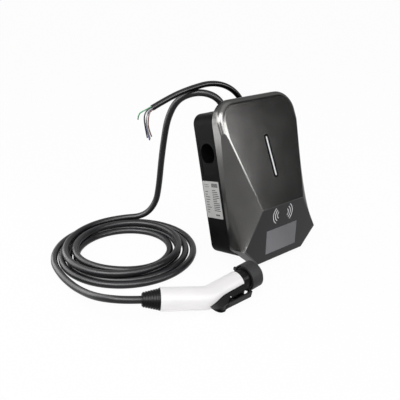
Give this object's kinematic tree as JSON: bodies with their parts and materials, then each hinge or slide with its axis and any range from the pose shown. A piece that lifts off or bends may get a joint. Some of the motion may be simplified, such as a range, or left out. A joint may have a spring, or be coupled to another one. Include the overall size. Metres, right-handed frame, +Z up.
{
  "type": "ev wallbox",
  "caption": "Wall charging box for a car: faceted dark cover with glass display and light bar, black housing with plug holster, coiled cable with latched plug and cap, cut supply cable.",
  "frame": {"origin": "middle of the box's own extent, on the surface it stands on, cables and plug left out", "axes": "+X to the right seen from the front, +Y to the back, +Z up"},
  "size_m": [0.586, 0.528, 0.4128],
  "materials": {
    "cover": "satin metallic gunmetal paint",
    "glass": "gloss black",
    "screen": "gloss dark grey",
    "board": "satin",
    "black_gloss": "gloss",
    "light": "frosted",
    "housing": "fine texture",
    "seal": "matte",
    "steel": "zinc plated",
    "relay": "satin",
    "terminal": "satin",
    "sensor": "satin",
    "can": "satin",
    "brass": "satin",
    "gland": "satin",
    "cable": "satin",
    "earth": "satin",
    "core_black": "satin",
    "core_blue": "satin",
    "core_brown": "satin",
    "core_grey": "satin",
    "white_shell": "satin",
    "plug_black": "satin",
    "cap": "matte",
    "copper": "plated"
  },
  "bodies": {
    "wallbox": {"front_cover": "cover", "glass_panel": "glass", "screen_module": "screen", "display_board": "board", "card_antenna_board": "board", "light_bar_frame": "black_gloss", "light_bar_guide": "light", "light_bar_board": "board", "rear_housing": "housing", "cover_seal": "seal", "cover_screws": "steel", "plug_holster": "housing", "main_board": "board", "board_screws": "steel", "relays": "relay", "terminal_block": "terminal", "leakage_sensor": "sensor", "power_supply": "relay", "capacitors": "can", "supply_leads": "brass", "charging_gland_body": "gland", "charging_gland_nut": "gland", "charging_gland_lock_nut": "gland", "supply_gland_body": "gland", "supply_gland_nut": "gland", "supply_gland_lock_nut": "gland", "charging_cable": "cable", "charging_coil": "cable", "charging_cable_tail": "cable", "supply_cable": "cable", "earth_core": "earth", "black_core": "core_black", "blue_core": "core_blue", "brown_core": "core_brown", "grey_core": "core_grey", "plug_shell_upper": "white_shell", "plug_shell_lower": "white_shell", "plug_carrier": "plug_black", "contact_block": "plug_black", "contact_sleeves": "copper", "latch_frame": "plug_black", "latch_pin": "steel", "latch_spring": "steel", "proximity_switch": "relay", "plug_strain_relief": "plug_black"},
    "dust_cap": {"dust_cap": "cap"},
    "latch_lever": {"latch_lever": "plug_black"}
  },
  "joints": [
    {"name": "latch_press", "type": "hinge", "parent": "wallbox", "child": "latch_lever", "pos_m": [-0.23331, -0.18197, 0.01712], "axis": [0.0457, 0.2774, -0.9597], "range_deg": [0, 6], "stiffness_Nm_per_rad": 1.2, "springref_deg": -6.88},
    {"name": "cap_pull", "type": "slide", "parent": "wallbox", "child": "dust_cap", "axis": [0.9977, 0.0348, 0.0576], "range_m": [0, 0.034]}
  ]
}
